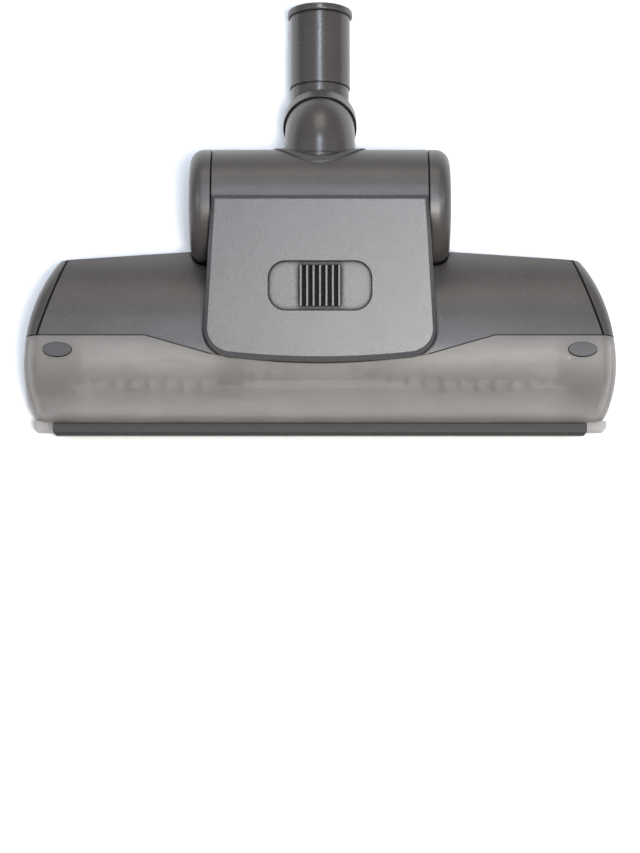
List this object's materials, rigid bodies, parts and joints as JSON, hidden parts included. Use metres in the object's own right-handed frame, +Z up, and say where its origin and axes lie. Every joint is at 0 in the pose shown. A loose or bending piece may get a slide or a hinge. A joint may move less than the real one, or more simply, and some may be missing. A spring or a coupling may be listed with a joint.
{
  "type": "vacuum floor brush head",
  "caption": "Turbine-driven vacuum floor head with a belt-driven bristle roller, smoked front window, double swivel neck and a push-fit wand socket.",
  "frame": {"origin": "on the floor, under the middle of the head's bounding box with the wand tube straight back", "axes": "+X to the right across the head seen from behind the wand, +Y back along the wand tube, +Z up"},
  "size_m": [0.336, 0.2508, 0.0716],
  "materials": {
    "body_plastic": "fine matt grain",
    "trim_plastic": "satin",
    "latch_plastic": "satin",
    "window_plastic": "smoked, see-through",
    "rubber": "matt",
    "felt": "felt",
    "core_plastic": "satin",
    "drive_plastic": "satin",
    "bristle": "nylon",
    "steel": "bright drawn",
    "bush_metal": "sintered",
    "wheel_plastic": "satin"
  },
  "bodies": {
    "housing": {"upper_shell": "body_plastic", "lower_shell": "body_plastic", "end_cap_right": "body_plastic", "end_cap_left": "body_plastic", "top_cover": "body_plastic", "clean_out_door": "body_plastic", "bearing_block_right": "body_plastic", "bearing_block_left": "body_plastic", "bulkhead_right": "body_plastic", "bulkhead_left": "body_plastic", "front_window": "window_plastic", "front_bumper": "rubber", "lip_bar": "rubber", "thin_strip": "rubber", "drive_belt": "rubber", "flat_strip": "felt", "housing_screws": "steel", "front_axle_right": "steel", "front_axle_left": "steel", "rear_axle_right": "steel", "rear_axle_left": "steel", "brush_bearing_right": "bush_metal", "brush_bearing_left": "bush_metal", "shaft_bush_right": "bush_metal", "shaft_bush_left": "bush_metal"},
    "neck": {"neck_elbow": "body_plastic", "neck_seal": "felt"},
    "wand": {"wand_tube": "body_plastic"},
    "brush": {"brush_core": "core_plastic", "brush_pulley": "drive_plastic", "bristle_tufts": "bristle", "brush_shaft": "steel"},
    "turbine": {"turbine_wheel": "drive_plastic", "turbine_shaft": "steel", "turbine_pinion": "drive_plastic"},
    "slider": {"air_slider": "trim_plastic"},
    "latch_right": {"door_latch_right": "latch_plastic"},
    "latch_left": {"door_latch_left": "latch_plastic"},
    "button_right": {"window_button_right": "trim_plastic"},
    "button_left": {"window_button_left": "trim_plastic"},
    "wheel_front_right": {"front_wheel_right": "wheel_plastic"},
    "wheel_front_left": {"front_wheel_left": "wheel_plastic"},
    "wheel_rear_right": {"rear_wheel_right": "wheel_plastic"},
    "wheel_rear_left": {"rear_wheel_left": "wheel_plastic"}
  },
  "joints": [
    {"name": "elbow_roll", "type": "hinge", "parent": "housing", "child": "neck", "pos_m": [0, 0.0449, 0.037], "axis": [0, 1, 0], "continuous": true},
    {"name": "tube_swivel", "type": "hinge", "parent": "neck", "child": "wand", "pos_m": [0, 0.05409, 0.02781], "axis": [0, 0.7071, -0.7071], "continuous": true},
    {"name": "brush_spin", "type": "hinge", "parent": "housing", "child": "brush", "pos_m": [0, -0.0816, 0.021], "axis": [1, 0, 0], "continuous": true},
    {"name": "turbine_spin", "type": "hinge", "parent": "housing", "child": "turbine", "pos_m": [0, -0.0046, 0.037], "axis": [1, 0, 0], "continuous": true},
    {"name": "air_slider_slide", "type": "slide", "parent": "housing", "child": "slider", "axis": [1, 0, 0], "range_m": [-0.0115, 0.0115]},
    {"name": "latch_right_slide", "type": "slide", "parent": "housing", "child": "latch_right", "axis": [1, 0, 0], "range_m": [0, 0.004]},
    {"name": "latch_left_slide", "type": "slide", "parent": "housing", "child": "latch_left", "axis": [-1, 0, 0], "range_m": [0, 0.004]},
    {"name": "button_right_press", "type": "slide", "parent": "housing", "child": "button_right", "axis": [0, 0, -1], "range_m": [0, 0.002], "stiffness_N_per_m": 400},
    {"name": "button_left_press", "type": "slide", "parent": "housing", "child": "button_left", "axis": [0, 0, -1], "range_m": [0, 0.002], "stiffness_N_per_m": 400},
    {"name": "front_wheel_right_spin", "type": "hinge", "parent": "housing", "child": "wheel_front_right", "pos_m": [0.155, -0.1088, 0.0065], "axis": [1, 0, 0], "continuous": true},
    {"name": "front_wheel_left_spin", "type": "hinge", "parent": "housing", "child": "wheel_front_left", "pos_m": [-0.155, -0.1088, 0.0065], "axis": [1, 0, 0], "continuous": true},
    {"name": "rear_wheel_right_spin", "type": "hinge", "parent": "housing", "child": "wheel_rear_right", "pos_m": [0.0565, 0.0154, 0.0125], "axis": [1, 0, 0], "continuous": true},
    {"name": "rear_wheel_left_spin", "type": "hinge", "parent": "housing", "child": "wheel_rear_left", "pos_m": [-0.0565, 0.0154, 0.0125], "axis": [1, 0, 0], "continuous": true}
  ],
  "couplings": [
    {"joint": "turbine_spin", "follows": "brush_spin", "ratio": 2.3667}
  ]
}
